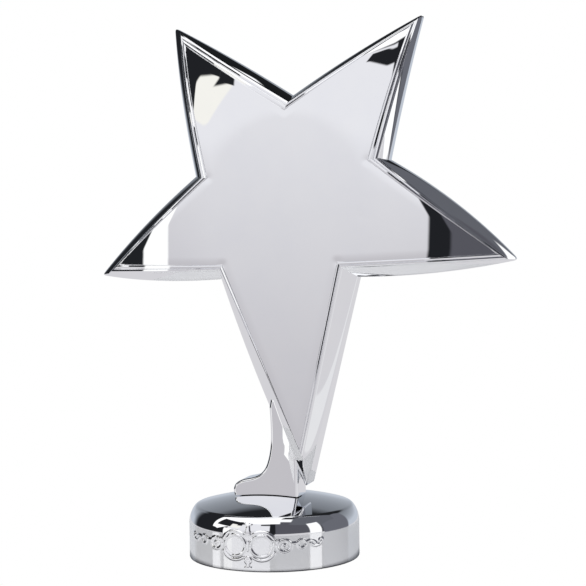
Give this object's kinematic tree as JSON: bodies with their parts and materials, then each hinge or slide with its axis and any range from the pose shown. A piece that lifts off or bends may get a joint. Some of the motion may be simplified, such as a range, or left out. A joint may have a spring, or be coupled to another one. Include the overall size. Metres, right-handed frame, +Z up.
{
  "type": "star trophy",
  "caption": "Chrome-plated star on a waisted stem, screwed to a domed round base with a relief band, a steel weight and a felt pad.",
  "frame": {"origin": "on the axis of the round base, at the underside of the felt pad", "axes": "+Z up along the base axis, -Y the way the star's face and the relief band look, +X towards the star's long right arm"},
  "size_m": [0.1638, 0.0645, 0.2025],
  "materials": {
    "chrome_plate": "mirror-polished chrome plate on cast zinc",
    "steel": "turned bare steel",
    "zinc_plated_steel": "bright zinc plate",
    "felt": "black pressed felt"
  },
  "bodies": {
    "root": {"star_casting": "chrome_plate", "base_shell": "chrome_plate", "base_weight": "steel", "clamp_screw": "zinc_plated_steel", "spring_washer": "zinc_plated_steel", "flat_washer": "zinc_plated_steel", "locating_pin_left": "steel", "locating_pin_right": "steel", "felt_pad": "felt"}
  },
  "joints": []
}
